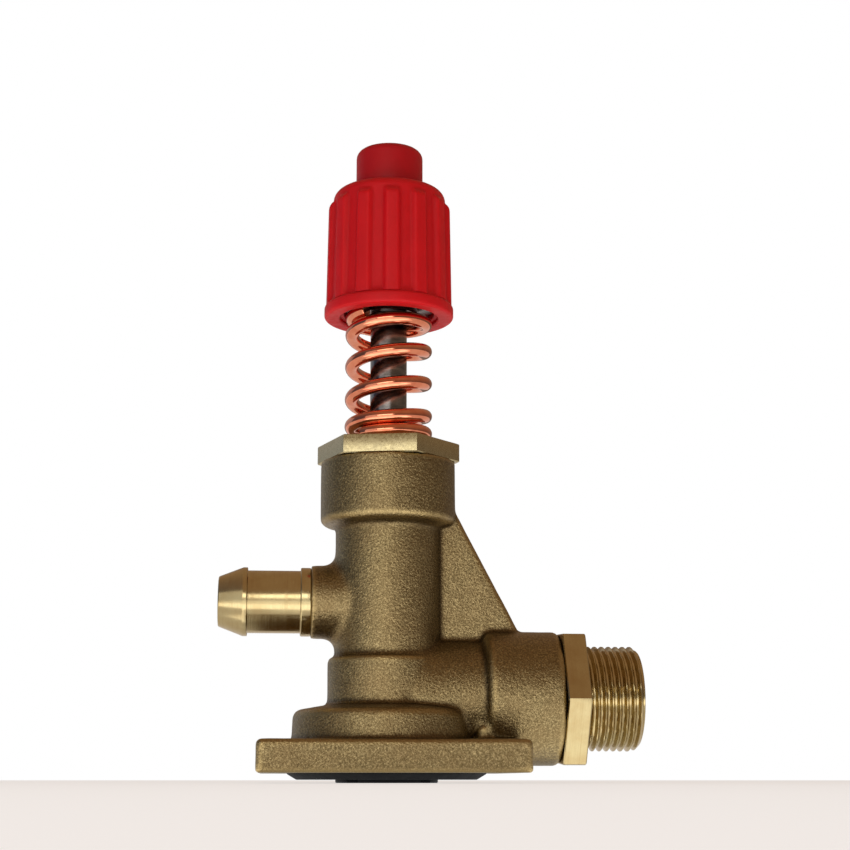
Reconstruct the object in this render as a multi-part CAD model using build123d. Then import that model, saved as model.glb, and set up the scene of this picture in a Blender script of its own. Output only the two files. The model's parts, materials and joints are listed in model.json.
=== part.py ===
from build123d import *
import os

# Flange-mounted unloader (pressure-regulating) valve of a high-pressure washer pump.
# Millimetres. The spindle axis is Z, z = 0 is the flange's sealing face, +X points at the
# outlet, -X at the bypass hose barb, and -Y is the front.

# ---------------------------------------------------------------- driving dimensions
FIT_GAP = 0.05             # radial clearance of every piece that slides or sits in a bore

FLANGE_SIDE = 54.0
FLANGE_TOP = 6.5
FLANGE_CORNER_R = 1.2
BOLT_SPACING = 39.0
BOLT_HOLE_R = 3.3          # clearance for M6

BASE_BOSS_R = 19.2
BASE_BOSS_X = -0.5         # the low round boss is cast a little off the spindle axis
BASE_BOSS_TOP = 13.9
LOWER_BOSS_R = 12.6
LOWER_BOSS_TOP = 23.5
COLUMN_R = 11.2
SLEEVE_R = 14.5
SLEEVE_BOTTOM = 52.3
SLEEVE_TOP = 65.6

OUTLET_Z = 15.5
NECK_R = 12.0
OUTLET_BOSS_R = 14.0
OUTLET_BOSS_START = 20.0
OUTLET_BOSS_END = 36.0

BYPASS_Z = 35.5
BYPASS_BOSS_R = 7.75
BYPASS_BOSS_END = 16.3

RIB_THICKNESS = 5.0
STUB_X = 19.2              # feeder stub on the flange, in front of the outlet boss
STUB_Y = -10.6
STUB_R = 1.5
STUB_TOP = 9.4

CYLINDER_R = 6.0           # bore that the unloader piston slides in
CHAMBER_R = 8.0            # inlet chamber, and the check valve's chamber
SEAT_SHOULDER_Z = 26.0
SEAT_Z = 21.5              # face that the bypass poppet closes against
SEAT_HOLE_R = 3.6
NUT_BORE_R = 11.0
NUT_BORE_BOTTOM = 57.0
CHECK_SEAT_X = 20.5
CHECK_PORT_R = 5.5
NIPPLE_BORE_START = 27.5
NIPPLE_BORE_R = 10.0
BARB_BORE_R = 5.0
BARB_BORE_START = 10.0
PILOT_R = 1.0

SEAL_RECESS = 1.2
SEAL_R = 20.9
SEAL_STAND = 1.35          # how far the flange seal stands out below the flange
CAGE_DISC_R = 10.7
CAGE_STAND = 2.0
CAGE_R = CHAMBER_R - FIT_GAP
INLET_R = 5.5

HEX_AF = 27.0              # both hexagons take a 27 mm spanner
JOINT_GAP = 0.3            # gap under each hexagon
SEAL_SEAT_DEPTH = 1.0      # counterbore that holds the seal ring under each hexagon
SEAL_SEAT_WIDTH = 1.3
GUIDE_HEX_BOTTOM = SLEEVE_TOP + JOINT_GAP
GUIDE_HEX_TOP = 69.7
GUIDE_HEX_CLOCK = -11.0    # degrees that the nut is turned about Z

ROD_R = 4.0
PISTON_R = CYLINDER_R - FIT_GAP
PISTON_BOTTOM = 43.0
PISTON_TOP = 51.0
STEM_R = 2.0
ROD_SHOULDER_Z = 114.2
ROD_END_R = 3.0
ROD_END_Z = 122.5

SPRING_WIRE = 3.0
SPRING_MEAN_R = 8.05
SPRING_TURNS = 4.96
SPRING_START_ANGLE = 246.0
SPRING_TOP = 100.1

KNOB_BOTTOM = 98.1
KNOB_RIM_TOP = 100.9
KNOB_RIM_R = 14.25
KNOB_SHOULDER = 127.5
KNOB_RIBS = 13
KNOB_RIB_WIDTH = 3.9
KNOB_RIB_TOP = 124.8
KNOB_CLOCK = 19.8          # degrees from the X axis to the middle of the first rib
KNOB_OPENING_R = 10.0
KNOB_FLOOR = 102.0         # roof of the spring pocket in the knob's underside
INSERT_R = 7.5
INSERT_TOP = 114.0
KNOB_BORE_R = 6.3
CAP_R = 7.45
CAP_TOP = 137.4
CAP_EDGE_R = 1.2

NIPPLE_HEX_END = 41.0
NIPPLE_HEX_CLOCK = 33.3    # degrees about the outlet axis; 30 would put two flats level
NIPPLE_END = 53.1
OUTLET_THREAD_R = 11.0     # M22 x 1.5 crest
OUTLET_SOCKET_R = 7.05     # takes the 14 mm plug of a hose coupling
OUTLET_SOCKET_START = 42.2
NIPPLE_HOLE_R = 4.4

BARB_HOLE_R = 3.4
BARB_TUBE_R = 6.6
BARB_END = 35.8

OUTLET = Pos(0, 0, OUTLET_Z) * Rot(0, 90, 0)       # carries a Z-axis solid onto the outlet axis
BYPASS = Pos(0, 0, BYPASS_Z) * Rot(0, -90, 0)      # and onto the bypass axis


# ---------------------------------------------------------------- shape helpers
def turned(corners, rounding=None):
    """Solid of revolution about Z from (radius, height) corners; rounding is {corner index: radius}."""
    rounding = rounding or {}
    radii = [rounding.get(index, 0.0) for index in range(len(corners))]
    outline = FilletPolyline(*corners, radius=radii, close=True)
    return revolve(Plane.XZ * make_face(outline), Axis.Z)


def ring(outer_r, inner_r, low, high):
    """Plain ring, or a disc when inner_r is 0."""
    return turned([(inner_r, low), (outer_r, low), (outer_r, high), (inner_r, high)])


def o_ring(mean_r, section_r, height):
    return Pos(0, 0, height) * Torus(mean_r, section_r)


def hexagon(across_flats, low, high, clock=0.0):
    """Hexagonal prism with its first corner at the angle clock from the X axis."""
    outline = RegularPolygon(across_flats / 2, 6, major_radius=False)
    return Pos(0, 0, low) * Rot(0, 0, clock) * extrude(outline, high - low)


def coil(wire, mean_r, turns, low, high, start_angle=0.0):
    """Right-hand compression spring whose wire touches the planes at low and high."""
    rise = high - low - wire
    path = Helix(rise / turns, rise, mean_r)
    section = Plane(path @ 0, z_dir=path % 0) * Circle(wire / 2)
    return Pos(0, 0, low + wire / 2) * Rot(0, 0, start_angle) * sweep(section, path, is_frenet=True)


# ---------------------------------------------------------------- valve body
def flange_plate():
    outline = RectangleRounded(FLANGE_SIDE, FLANGE_SIDE, FLANGE_CORNER_R)
    plate = extrude(outline, FLANGE_TOP)
    plate = fillet(plate.edges().group_by(Axis.Z)[-1], 1.1)
    return chamfer(plate.edges().group_by(Axis.Z)[0], 0.4)


def body_spine():
    """Lower boss, column and the wide upper sleeve, all on the spindle axis."""
    corners = [
        (0, 1),
        (LOWER_BOSS_R, 1),
        (LOWER_BOSS_R, LOWER_BOSS_TOP),
        (COLUMN_R, LOWER_BOSS_TOP + 0.5),
        (COLUMN_R, SLEEVE_BOTTOM - 0.9),
        (SLEEVE_R, SLEEVE_BOTTOM),
        (SLEEVE_R, SLEEVE_TOP),
        (0, SLEEVE_TOP),
    ]
    return turned(corners, {2: 1.0, 3: 0.5, 4: 0.8, 5: 1.4, 6: 0.3})


def base_boss():
    corners = [
        (0, 1),
        (BASE_BOSS_R + 0.6, 1),
        (BASE_BOSS_R, BASE_BOSS_TOP - 1.2),
        (LOWER_BOSS_R, BASE_BOSS_TOP),
        (0, BASE_BOSS_TOP),
    ]
    return Pos(BASE_BOSS_X, 0, 0) * turned(corners, {2: 1.8})


def outlet_arm():
    """Neck and threaded boss that carry the outlet."""
    neck = ring(NECK_R, 0, 0, OUTLET_BOSS_START + 1)
    corners = [
        (0, OUTLET_BOSS_START),
        (OUTLET_BOSS_R, OUTLET_BOSS_START),
        (OUTLET_BOSS_R, OUTLET_BOSS_END),
        (0, OUTLET_BOSS_END),
    ]
    return OUTLET * (neck + turned(corners, {1: 1.6, 2: 0.9}))


def bypass_arm():
    corners = [(0, 0), (BYPASS_BOSS_R, 0), (BYPASS_BOSS_R, BYPASS_BOSS_END), (0, BYPASS_BOSS_END)]
    return BYPASS * turned(corners, {2: 0.4})


def pilot_rib():
    """Web between the sleeve and the outlet boss; the pilot passage runs inside it."""
    half_boss = (OUTLET_BOSS_START + OUTLET_BOSS_END) / 2
    corners = [
        (0, OUTLET_Z),
        (half_boss, OUTLET_Z),
        (half_boss, OUTLET_Z + OUTLET_BOSS_R - 0.6),
        (OUTLET_BOSS_START + 7.7, OUTLET_Z + OUTLET_BOSS_R + 0.3),
        (SLEEVE_R - 0.2, SLEEVE_BOTTOM + 3.0),
        (0, SLEEVE_BOTTOM + 3.0),
    ]
    web = extrude(Plane.XZ * make_face(Polyline(*corners, close=True)), RIB_THICKNESS / 2, both=True)
    slope = web.edges().filter_by(lambda e: abs(e.tangent_at(0.5).X * e.tangent_at(0.5).Z) > 0.2)
    long_edges = [e for e in slope if e.length > 20]
    return fillet(long_edges, 1.0)


def feeder_stub():
    """Small stub left by casting on the flange, beside the outlet boss."""
    root = FLANGE_TOP - 2.5
    corners = [(0, root), (STUB_R, root), (STUB_R, STUB_TOP), (0, STUB_TOP)]
    return Pos(STUB_X, STUB_Y, 0) * turned(corners, {2: 0.7})


def bolt_holes():
    drill = ring(BOLT_HOLE_R, 0, -1, FLANGE_TOP + 1)
    half = BOLT_SPACING / 2
    return [Pos(x, y, 0) * drill for x in (-half, half) for y in (-half, half)]


def pilot_passage():
    """Drilled from the nut's bore floor down the rib into the check valve's chamber."""
    top = Vector(9.25, 0, NUT_BORE_BOTTOM + 0.5)
    bottom = Vector(24.9, 0, OUTLET_Z + CHAMBER_R - 1.0)
    run = bottom - top
    return Plane(origin=top, z_dir=run) * extrude(Circle(PILOT_R), run.length)


def spindle_bores():
    corners = [
        (0, -1),
        (SEAL_R + 0.1, -1),
        (SEAL_R + 0.1, SEAL_RECESS),
        (CHAMBER_R, SEAL_RECESS),
        (CHAMBER_R, SEAT_SHOULDER_Z),
        (CYLINDER_R, SEAT_SHOULDER_Z),
        (CYLINDER_R, NUT_BORE_BOTTOM),
        (NUT_BORE_R, NUT_BORE_BOTTOM),
        (NUT_BORE_R, SLEEVE_TOP - SEAL_SEAT_DEPTH),
        (NUT_BORE_R + SEAL_SEAT_WIDTH, SLEEVE_TOP - SEAL_SEAT_DEPTH),
        (NUT_BORE_R + SEAL_SEAT_WIDTH, SLEEVE_TOP + 1),
        (0, SLEEVE_TOP + 1),
    ]
    return turned(corners)


def outlet_bores():
    corners = [
        (0, CHAMBER_R - 1),
        (CHECK_PORT_R, CHAMBER_R - 1),
        (CHECK_PORT_R, CHECK_SEAT_X),
        (CHAMBER_R, CHECK_SEAT_X),
        (CHAMBER_R, NIPPLE_BORE_START),
        (NIPPLE_BORE_R, NIPPLE_BORE_START),
        (NIPPLE_BORE_R, OUTLET_BOSS_END - SEAL_SEAT_DEPTH),
        (NIPPLE_BORE_R + SEAL_SEAT_WIDTH, OUTLET_BOSS_END - SEAL_SEAT_DEPTH),
        (NIPPLE_BORE_R + SEAL_SEAT_WIDTH, OUTLET_BOSS_END + 1),
        (0, OUTLET_BOSS_END + 1),
    ]
    return OUTLET * turned(corners)


def bypass_bores():
    port = ring(BARB_HOLE_R + 0.2, 0, CYLINDER_R - 1, BARB_BORE_START + 1)
    return BYPASS * (port + ring(BARB_BORE_R, 0, BARB_BORE_START, BYPASS_BOSS_END + 1))


def valve_body():
    casting = body_spine() + bypass_arm()
    root = casting.edges().filter_by(lambda e: -COLUMN_R - 0.5 < e.center().X < -COLUMN_R + 3.2)
    root = root.filter_by(lambda e: abs(e.center().Z - BYPASS_Z) < BYPASS_BOSS_R + 0.5)
    root = root.filter_by(lambda e: e.geom_type != GeomType.CIRCLE and e.geom_type != GeomType.LINE)
    casting = fillet(root, 2.6)
    casting += pilot_rib() + outlet_arm() + base_boss() + flange_plate() + feeder_stub()
    casting -= spindle_bores()
    casting -= outlet_bores()
    casting -= bypass_bores()
    casting -= pilot_passage()
    for hole in bolt_holes():
        casting -= hole
    return casting


# ---------------------------------------------------------------- pieces under the flange
def mounting_seal():
    """Moulded ring that seals the flange on the pump head; its lower edge is bevelled."""
    corners = [
        (CAGE_DISC_R + 0.1, -SEAL_STAND),
        (SEAL_R - 2.1, -SEAL_STAND),
        (SEAL_R, -0.1),
        (SEAL_R, SEAL_RECESS),
        (CAGE_DISC_R + 0.1, SEAL_RECESS),
    ]
    return turned(corners)


def inlet_cage():
    """Plastic sleeve that holds the valve seat up; windows lead to the outlet, slots take a tool."""
    wall = 1.5
    corners = [
        (INLET_R, -CAGE_STAND),
        (CAGE_DISC_R, -CAGE_STAND),
        (CAGE_DISC_R, SEAL_RECESS),
        (CAGE_R, SEAL_RECESS),
        (CAGE_R, SEAT_Z),
        (CAGE_R - wall, SEAT_Z),
        (CAGE_R - wall, 3.0),
        (INLET_R, 3.0),
    ]
    cage = turned(corners, {1: 0.3})
    window_r = 4.2
    window = Pos(0, 0, OUTLET_Z) * Rot(0, 90, 0) * Cylinder(window_r, 2 * CHAMBER_R + 2)
    slot_start = INLET_R + 1.5
    slot_length = CAGE_DISC_R - slot_start + 1.0
    slot = Pos(slot_start + slot_length / 2, 0, -CAGE_STAND) * Box(slot_length, 3.0, 1.6)
    cage -= window
    cage -= Rot(0, 0, 90) * window
    for quarter in range(4):
        cage -= Rot(0, 0, 45 + 90 * quarter) * slot
    return cage


# ---------------------------------------------------------------- bypass seat and its seal
SEAT_GROOVE_R = 6.65
SEAT_SEAL_SECTION_R = 0.65
SEAT_GROOVE_Z = 23.6


def valve_seat():
    outer = CHAMBER_R - FIT_GAP
    half = SEAT_SEAL_SECTION_R + 0.15
    corners = [
        (SEAT_HOLE_R, SEAT_Z),
        (outer, SEAT_Z),
        (outer, SEAT_GROOVE_Z - half),
        (SEAT_GROOVE_R, SEAT_GROOVE_Z - half),
        (SEAT_GROOVE_R, SEAT_GROOVE_Z + half),
        (outer, SEAT_GROOVE_Z + half),
        (outer, SEAT_SHOULDER_Z),
        (SEAT_HOLE_R, SEAT_SHOULDER_Z),
    ]
    return turned(corners)


def seat_seal():
    return o_ring(SEAT_GROOVE_R + SEAT_SEAL_SECTION_R, SEAT_SEAL_SECTION_R, SEAT_GROOVE_Z)


# ---------------------------------------------------------------- spindle group
PISTON_GROOVE_R = 4.2
PISTON_SEAL_SECTION_R = 0.88
PISTON_GROOVE_BOTTOM = 46.0
BACKUP_THICKNESS = 0.9
PISTON_GROOVE_TOP = PISTON_GROOVE_BOTTOM + BACKUP_THICKNESS + 2 * PISTON_SEAL_SECTION_R + 0.2
POPPET_BOTTOM = 15.5
POPPET_R = 4.9
POPPET_TOP = 22.4
STEM_TIP_R = 1.9
STEM_TIP_Z = 17.0
POPPET_CLOSED_GAP = 0.1    # height that the closed poppet stays below the seat's edge


def spindle():
    """One turned steel piece: stem, unloader piston, rod and the threaded end that the knob screws on."""
    corners = [
        (0, STEM_TIP_Z),
        (STEM_TIP_R, STEM_TIP_Z),
        (STEM_TIP_R, POPPET_TOP),
        (STEM_R, POPPET_TOP),
        (STEM_R, PISTON_BOTTOM),
        (PISTON_R, PISTON_BOTTOM),
        (PISTON_R, PISTON_GROOVE_BOTTOM),
        (PISTON_GROOVE_R, PISTON_GROOVE_BOTTOM),
        (PISTON_GROOVE_R, PISTON_GROOVE_TOP),
        (PISTON_R, PISTON_GROOVE_TOP),
        (PISTON_R, PISTON_TOP),
        (ROD_R, PISTON_TOP + 1.0),
        (ROD_R, ROD_SHOULDER_Z),
        (ROD_END_R, ROD_SHOULDER_Z),
        (ROD_END_R, ROD_END_Z - 0.6),
        (ROD_END_R - 0.6, ROD_END_Z),
        (0, ROD_END_Z),
    ]
    return turned(corners)


def piston_backup_ring():
    top = PISTON_GROOVE_BOTTOM + BACKUP_THICKNESS
    return ring(PISTON_R, PISTON_GROOVE_R, PISTON_GROOVE_BOTTOM, top)


def piston_seal():
    height = PISTON_GROOVE_BOTTOM + BACKUP_THICKNESS + PISTON_SEAL_SECTION_R + 0.1
    return o_ring(PISTON_GROOVE_R + PISTON_SEAL_SECTION_R, PISTON_SEAL_SECTION_R, height)


def bypass_poppet():
    """Cone that closes the seat from below; it is screwed on the stem."""
    edge_sum = SEAT_HOLE_R + SEAT_Z - POPPET_CLOSED_GAP
    hole_r = STEM_TIP_R + FIT_GAP
    corners = [
        (0, POPPET_BOTTOM),
        (POPPET_R, POPPET_BOTTOM),
        (POPPET_R, edge_sum - POPPET_R),
        (edge_sum - POPPET_TOP, POPPET_TOP),
        (hole_r, POPPET_TOP),
        (hole_r, STEM_TIP_Z - 0.2),
        (0, STEM_TIP_Z - 0.2),
    ]
    return turned(corners, {1: 0.5})


def stop_nut():
    """Thin M6 lock nut on the rod's end; it stops the knob from unscrewing off the rod."""
    nut = hexagon(10.0, ROD_SHOULDER_Z, ROD_SHOULDER_Z + 3.2)
    return nut - ring(ROD_END_R + FIT_GAP, 0, ROD_SHOULDER_Z - 1, ROD_SHOULDER_Z + 5)


# ---------------------------------------------------------------- guide nut group
GUIDE_SPIGOT_BOTTOM = 58.0
GLAND_R = 6.5
GLAND_TOP = 63.3
ROD_SEAL_TOP = 62.1
ROD_SEAL_BOTTOM = 59.8


def guide_nut():
    """Hexagon nut that closes the sleeve, guides the rod and carries the spring."""
    head = hexagon(HEX_AF, GUIDE_HEX_BOTTOM, GUIDE_HEX_TOP, GUIDE_HEX_CLOCK)
    spigot = ring(NUT_BORE_R - FIT_GAP, 0, GUIDE_SPIGOT_BOTTOM, GUIDE_HEX_BOTTOM)
    bores = turned([
        (0, GUIDE_SPIGOT_BOTTOM - 1),
        (GLAND_R, GUIDE_SPIGOT_BOTTOM - 1),
        (GLAND_R, GLAND_TOP),
        (ROD_R + FIT_GAP, GLAND_TOP),
        (ROD_R + FIT_GAP, GUIDE_HEX_TOP - 0.5),
        (ROD_R + FIT_GAP + 0.6, GUIDE_HEX_TOP + 0.1),
        (0, GUIDE_HEX_TOP + 0.1),
    ])
    return head + spigot - bores


def guide_nut_seal():
    outer = NUT_BORE_R + SEAL_SEAT_WIDTH - FIT_GAP
    return ring(outer, NUT_BORE_R + 0.05, SLEEVE_TOP - SEAL_SEAT_DEPTH, GUIDE_HEX_BOTTOM)


def rod_backup_ring():
    return ring(GLAND_R - FIT_GAP, ROD_R + FIT_GAP, ROD_SEAL_TOP, GLAND_TOP)


def rod_seal():
    """Lip seal: a V groove in its lower face lets the pressure spread its lips."""
    corners = [
        (ROD_R + FIT_GAP, ROD_SEAL_BOTTOM),
        (ROD_R + 0.6, ROD_SEAL_BOTTOM),
        (ROD_R + 1.2, ROD_SEAL_BOTTOM + 1.2),
        (GLAND_R - 0.6, ROD_SEAL_BOTTOM),
        (GLAND_R - FIT_GAP, ROD_SEAL_BOTTOM),
        (GLAND_R - FIT_GAP, ROD_SEAL_TOP),
        (ROD_R + FIT_GAP, ROD_SEAL_TOP),
    ]
    return turned(corners)


def rod_seal_retainer():
    return ring(GLAND_R, ROD_R + 0.3, GUIDE_SPIGOT_BOTTOM + 0.3, ROD_SEAL_BOTTOM)


# ---------------------------------------------------------------- spring and its upper seat
def regulator_spring():
    return coil(SPRING_WIRE, SPRING_MEAN_R, SPRING_TURNS, GUIDE_HEX_TOP, SPRING_TOP, SPRING_START_ANGLE)


def upper_spring_seat():
    """Steel washer with a short collar that centres the spring inside the knob."""
    low = SPRING_TOP + 0.02
    high = KNOB_FLOOR - 0.1
    collar_r = SPRING_MEAN_R - SPRING_WIRE / 2 - 0.25
    corners = [
        (ROD_R + 0.4, low - 1.2),
        (collar_r, low - 1.2),
        (collar_r, low),
        (KNOB_OPENING_R - 0.3, low),
        (KNOB_OPENING_R - 0.3, high),
        (ROD_R + 0.4, high),
    ]
    return turned(corners)


# ---------------------------------------------------------------- knob group
KNOB_CORE_BOTTOM_R = 13.1
KNOB_CORE_TOP_R = 12.5
KNOB_RIB_BOTTOM_R = 13.9
KNOB_RIB_TOP_R = 13.55
KNOB_DOME_R = 2.2


def knob_rib():
    inner = KNOB_CORE_TOP_R - 1.5
    sections = []
    for height, outer in ((KNOB_RIM_TOP - 1.0, KNOB_RIB_BOTTOM_R), (KNOB_RIB_TOP, KNOB_RIB_TOP_R)):
        outline = Pos((outer + inner) / 2, 0) * RectangleRounded(outer - inner, KNOB_RIB_WIDTH, 0.55)
        sections.append(Pos(0, 0, height) * outline)
    return loft(sections)


def adjusting_knob():
    core = turned(
        [
            (0, KNOB_BOTTOM + 1),
            (KNOB_CORE_BOTTOM_R, KNOB_BOTTOM + 1),
            (KNOB_CORE_TOP_R, KNOB_RIB_TOP - 0.5),
            (KNOB_CORE_TOP_R, KNOB_SHOULDER),
            (0, KNOB_SHOULDER),
        ],
        {3: KNOB_DOME_R},
    )
    rim = turned(
        [
            (0, KNOB_BOTTOM),
            (KNOB_RIM_R, KNOB_BOTTOM),
            (KNOB_RIM_R, KNOB_RIM_TOP),
            (0, KNOB_RIM_TOP),
        ],
        {1: 0.7, 2: 0.9},
    )
    envelope = turned(
        [
            (0, KNOB_BOTTOM + 1),
            (KNOB_RIB_BOTTOM_R + 0.3, KNOB_BOTTOM + 1),
            (KNOB_RIB_TOP_R + 0.15, KNOB_RIB_TOP - 1.0),
            (KNOB_RIB_TOP_R - 1.4, KNOB_RIB_TOP),
            (0, KNOB_RIB_TOP),
        ]
    )
    rib = knob_rib() & envelope
    knob = core + rim
    for index in range(KNOB_RIBS):
        knob += Rot(0, 0, KNOB_CLOCK + 360 / KNOB_RIBS * index) * rib
    bores = turned([
        (0, KNOB_BOTTOM - 1),
        (KNOB_OPENING_R, KNOB_BOTTOM - 1),
        (KNOB_OPENING_R, KNOB_FLOOR),
        (INSERT_R, KNOB_FLOOR),
        (INSERT_R, INSERT_TOP),
        (KNOB_BORE_R, INSERT_TOP),
        (KNOB_BORE_R, KNOB_SHOULDER + 1),
        (0, KNOB_SHOULDER + 1),
    ])
    return knob - bores


def knob_insert():
    """Brass M8 x 1.25 insert moulded in the knob."""
    return ring(INSERT_R, ROD_R + FIT_GAP, KNOB_FLOOR, INSERT_TOP)


def knob_cap():
    plug_bottom = KNOB_SHOULDER - 2.0
    hollow_r = 4.6
    corners = [
        (hollow_r, plug_bottom),
        (KNOB_BORE_R - FIT_GAP, plug_bottom),
        (KNOB_BORE_R - FIT_GAP, KNOB_SHOULDER),
        (CAP_R, KNOB_SHOULDER),
        (CAP_R, CAP_TOP),
        (0, CAP_TOP),
        (0, CAP_TOP - 2.2),
        (hollow_r, CAP_TOP - 2.2),
    ]
    return turned(corners, {4: CAP_EDGE_R})


# ---------------------------------------------------------------- outlet group
CHECK_HEAD_R = 7.5
CHECK_HEAD_START = 21.0
CHECK_HEAD_END = 23.6
CHECK_SEAL_MEAN_R = 6.1
CHECK_SEAL_SECTION_R = 0.8
CHECK_SPRING_WIRE = 1.0
CHECK_SPRING_MEAN_R = 4.8
CHECK_SPRING_END = 33.0
CHECK_STEM_R = 3.3
CHECK_STEM_END = 28.5
CHECK_NOSE_START = 17.6
CHECK_NOSE_R = 4.2


def check_poppet():
    """Check valve's poppet: nose in the port, head with a face groove, stem in the spring."""
    groove = CHECK_SEAL_SECTION_R + FIT_GAP
    seal_bottom = CHECK_SEAT_X + 0.1 + 2 * CHECK_SEAL_SECTION_R
    corners = [
        (0, CHECK_NOSE_START),
        (CHECK_NOSE_R - 1.4, CHECK_NOSE_START),
        (CHECK_NOSE_R, CHECK_NOSE_START + 1.4),
        (CHECK_NOSE_R, CHECK_HEAD_START),
        (CHECK_SEAL_MEAN_R - groove, CHECK_HEAD_START),
        (CHECK_SEAL_MEAN_R - groove, seal_bottom),
        (CHECK_SEAL_MEAN_R + groove, seal_bottom),
        (CHECK_SEAL_MEAN_R + groove, CHECK_HEAD_START),
        (CHECK_HEAD_R, CHECK_HEAD_START),
        (CHECK_HEAD_R, CHECK_HEAD_END),
        (CHECK_STEM_R, CHECK_HEAD_END),
        (CHECK_STEM_R, CHECK_STEM_END),
        (0, CHECK_STEM_END),
    ]
    return OUTLET * turned(corners)


def check_seal():
    return OUTLET * o_ring(CHECK_SEAL_MEAN_R, CHECK_SEAL_SECTION_R, CHECK_SEAT_X + 0.1 + CHECK_SEAL_SECTION_R)


def check_spring():
    return OUTLET * coil(CHECK_SPRING_WIRE, CHECK_SPRING_MEAN_R, 4.0, CHECK_HEAD_END + 0.05, CHECK_SPRING_END)


def outlet_nipple():
    """Screwed nipple: spigot in the boss, 27 mm hexagon and the M22 x 1.5 hose thread."""
    hex_start = OUTLET_BOSS_END + JOINT_GAP
    spigot = ring(NIPPLE_BORE_R - FIT_GAP, 0, NIPPLE_BORE_START, hex_start)
    head = hexagon(HEX_AF, hex_start, NIPPLE_HEX_END, NIPPLE_HEX_CLOCK)
    thread = turned([
        (0, NIPPLE_HEX_END),
        (OUTLET_THREAD_R, NIPPLE_HEX_END),
        (OUTLET_THREAD_R, NIPPLE_END - 1.0),
        (OUTLET_THREAD_R - 1.0, NIPPLE_END),
        (0, NIPPLE_END),
    ])
    spring_pocket_r = CHECK_SPRING_MEAN_R + CHECK_SPRING_WIRE / 2 + 0.3
    bores = turned([
        (0, NIPPLE_BORE_START - 1),
        (spring_pocket_r, NIPPLE_BORE_START - 1),
        (spring_pocket_r, CHECK_SPRING_END),
        (NIPPLE_HOLE_R, CHECK_SPRING_END),
        (NIPPLE_HOLE_R, OUTLET_SOCKET_START - 1.5),
        (OUTLET_SOCKET_R, OUTLET_SOCKET_START),
        (OUTLET_SOCKET_R, NIPPLE_END - 0.7),
        (OUTLET_SOCKET_R + 0.8, NIPPLE_END + 0.1),
        (0, NIPPLE_END + 0.1),
    ])
    return OUTLET * (spigot + head + thread - bores)


def outlet_seal():
    outer = NIPPLE_BORE_R + SEAL_SEAT_WIDTH - FIT_GAP
    start = OUTLET_BOSS_END - SEAL_SEAT_DEPTH
    return OUTLET * ring(outer, NIPPLE_BORE_R + 0.05, start, OUTLET_BOSS_END + JOINT_GAP)


# ---------------------------------------------------------------- bypass barb
COLLAR_R = 7.25
COLLAR_END = BYPASS_BOSS_END + 2.2
BARB_LAND_R = 7.25         # the hose grips behind this land
BARB_LAND_START = 29.7
BARB_LAND_END = 30.6
BARB_TIP_R = 5.25


def bypass_barb():
    corners = [
        (BARB_HOLE_R, BARB_BORE_START),
        (BARB_BORE_R - FIT_GAP, BARB_BORE_START),
        (BARB_BORE_R - FIT_GAP, BYPASS_BOSS_END),
        (COLLAR_R, BYPASS_BOSS_END),
        (COLLAR_R, COLLAR_END),
        (BARB_TUBE_R, COLLAR_END),
        (BARB_TUBE_R, BARB_LAND_START),
        (BARB_LAND_R, BARB_LAND_START),
        (BARB_LAND_R, BARB_LAND_END),
        (BARB_TIP_R, BARB_END),
        (BARB_HOLE_R, BARB_END),
    ]
    return BYPASS * turned(corners, {3: 0.2, 4: 0.2, 7: 0.15, 8: 0.3, 9: 0.3})


# ---------------------------------------------------------------- write every piece
PIECES = [
    valve_body, mounting_seal, inlet_cage, valve_seat, seat_seal,
    spindle, piston_backup_ring, piston_seal, bypass_poppet, stop_nut,
    guide_nut, guide_nut_seal, rod_backup_ring, rod_seal, rod_seal_retainer,
    regulator_spring, upper_spring_seat, adjusting_knob, knob_insert, knob_cap,
    check_poppet, check_seal, check_spring, outlet_nipple, outlet_seal, bypass_barb,
]

os.makedirs("parts", exist_ok=True)
for piece in PIECES:
    export_step(piece(), f"parts/{piece.__name__}.step")
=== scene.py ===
import json
import math

import bmesh
import bpy
import numpy as np
from mathutils import Matrix, Vector, noise
from mathutils.bvhtree import BVHTree


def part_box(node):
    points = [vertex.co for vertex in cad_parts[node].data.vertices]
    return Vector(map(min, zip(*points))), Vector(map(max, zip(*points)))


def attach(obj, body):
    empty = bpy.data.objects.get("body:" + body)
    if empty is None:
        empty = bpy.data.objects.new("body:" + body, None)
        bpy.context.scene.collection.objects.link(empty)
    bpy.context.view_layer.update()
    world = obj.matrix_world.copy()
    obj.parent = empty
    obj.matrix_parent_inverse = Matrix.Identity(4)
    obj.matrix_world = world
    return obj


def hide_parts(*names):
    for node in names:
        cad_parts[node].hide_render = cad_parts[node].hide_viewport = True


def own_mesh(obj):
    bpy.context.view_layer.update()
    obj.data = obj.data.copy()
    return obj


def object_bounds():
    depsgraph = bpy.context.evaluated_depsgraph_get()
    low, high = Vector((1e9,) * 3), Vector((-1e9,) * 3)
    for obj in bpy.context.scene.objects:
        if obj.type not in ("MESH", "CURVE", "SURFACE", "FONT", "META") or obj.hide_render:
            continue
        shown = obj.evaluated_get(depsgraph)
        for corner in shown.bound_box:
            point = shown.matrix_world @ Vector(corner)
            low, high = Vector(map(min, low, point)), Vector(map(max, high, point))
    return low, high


# Looks of the unloader valve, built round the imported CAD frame. Metres, +Z up along the spindle,
# +X towards the outlet, -Y towards the viewer.

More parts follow.
